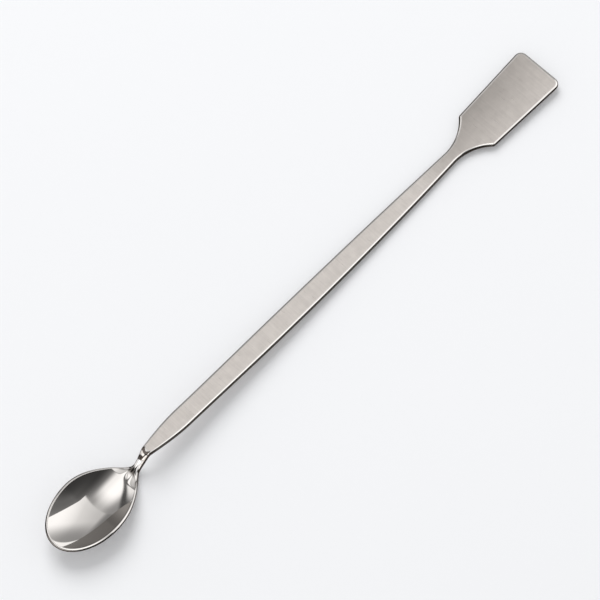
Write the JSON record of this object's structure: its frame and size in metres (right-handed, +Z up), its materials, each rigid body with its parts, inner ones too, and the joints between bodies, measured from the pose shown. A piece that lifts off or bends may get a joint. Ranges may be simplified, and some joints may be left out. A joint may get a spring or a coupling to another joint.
{
  "type": "lab spatula",
  "caption": "Steel lab spatula: a polished spoon bowl on a cranked neck, a slim bowed brushed handle and a flared flat blade, for scooping, levelling and scraping powders.",
  "frame": {"origin": "middle of the part's length and width, on the table that it lies on", "axes": "+X runs along the handle from the spoon bowl to the blade, +Y across the handle to its left, +Z up"},
  "size_m": [0.2, 0.0198, 0.0078],
  "materials": {
    "steel": "bowl, neck and edges polished, handle and blade faces finely brushed across their length"
  },
  "bodies": {
    "root": {"spatula": "steel"}
  },
  "joints": []
}
